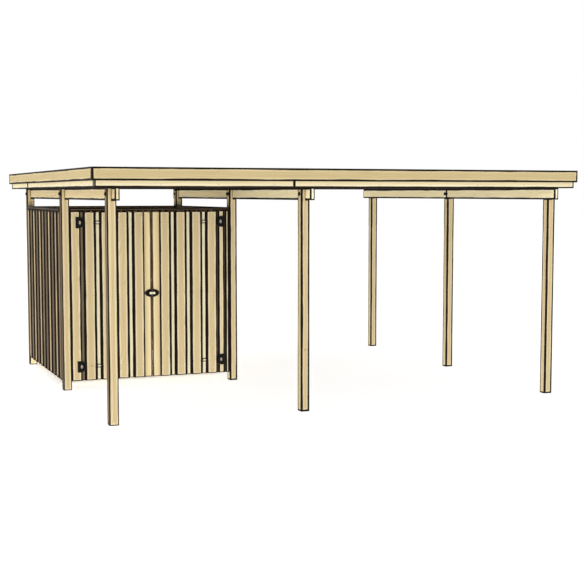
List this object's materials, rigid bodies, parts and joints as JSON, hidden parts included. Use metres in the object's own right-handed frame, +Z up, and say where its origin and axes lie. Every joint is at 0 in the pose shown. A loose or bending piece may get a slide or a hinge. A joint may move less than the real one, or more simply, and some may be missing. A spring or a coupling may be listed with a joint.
{
  "type": "flat-roofed timber carport with a tool shed",
  "caption": "Flat-roofed timber carport on square posts, open bay beside a covered bay with a board-clad tool shed and double doors.",
  "frame": {"origin": "on the ground under the centre of the roof's outline", "axes": "+X along the front from the shed side to the open bay, +Y from front to back, +Z up"},
  "size_m": [5.192, 4.72, 2.39],
  "materials": {
    "post_timber": "planed, untreated",
    "beam_timber": "planed, untreated",
    "rafter_timber": "planed, untreated",
    "deck_timber": "planed, untreated",
    "rim_timber": "planed, untreated",
    "fascia_timber": "planed, untreated",
    "cladding_timber": "planed, untreated",
    "cap_timber": "planed, untreated",
    "roofing_felt": "mineral-faced",
    "hinge_steel": "black, satin",
    "pull_steel": "black, satin"
  },
  "bodies": {
    "root": {"post_left_front": "post_timber", "post_left_middle": "post_timber", "post_left_back": "post_timber", "post_middle_front": "post_timber", "post_middle_middle": "post_timber", "post_middle_back": "post_timber", "post_right_front": "post_timber", "post_right_middle": "post_timber", "post_right_back": "post_timber", "beam_left_front": "beam_timber", "beam_left_back": "beam_timber", "beam_middle_front": "beam_timber", "beam_middle_back": "beam_timber", "beam_right_front": "beam_timber", "beam_right_back": "beam_timber", "rafters": "rafter_timber", "roof_deck": "deck_timber", "roof_felt": "roofing_felt", "rim_front": "rim_timber", "fascia_front": "fascia_timber", "rim_back": "rim_timber", "fascia_back": "fascia_timber", "rim_left": "rim_timber", "fascia_left": "fascia_timber", "rim_right": "rim_timber", "fascia_right": "fascia_timber", "shed_wall_left": "cladding_timber", "wall_cap_left": "cap_timber", "shed_wall_back": "cladding_timber", "wall_cap_back": "cap_timber", "shed_wall_right": "cladding_timber", "wall_cap_right": "cap_timber", "door_head": "cap_timber", "front_strip_left": "cladding_timber", "hinge_plates_left": "hinge_steel", "front_strip_right": "cladding_timber", "hinge_plates_right": "hinge_steel"},
    "door_leaf_left": {"door_left": "cladding_timber", "door_left_straps": "hinge_steel", "door_left_pull": "pull_steel"},
    "door_leaf_right": {"door_right": "cladding_timber", "door_right_straps": "hinge_steel", "door_right_pull": "pull_steel"}
  },
  "joints": [
    {"name": "door_left_hinge", "type": "hinge", "parent": "root", "child": "door_leaf_left", "pos_m": [-2.188, -0.079, 1.04], "axis": [0, 0, -1], "range_deg": [0, 105]},
    {"name": "door_right_hinge", "type": "hinge", "parent": "root", "child": "door_leaf_right", "pos_m": [-0.648, -0.079, 1.04], "axis": [0, 0, 1], "range_deg": [0, 105]}
  ]
}
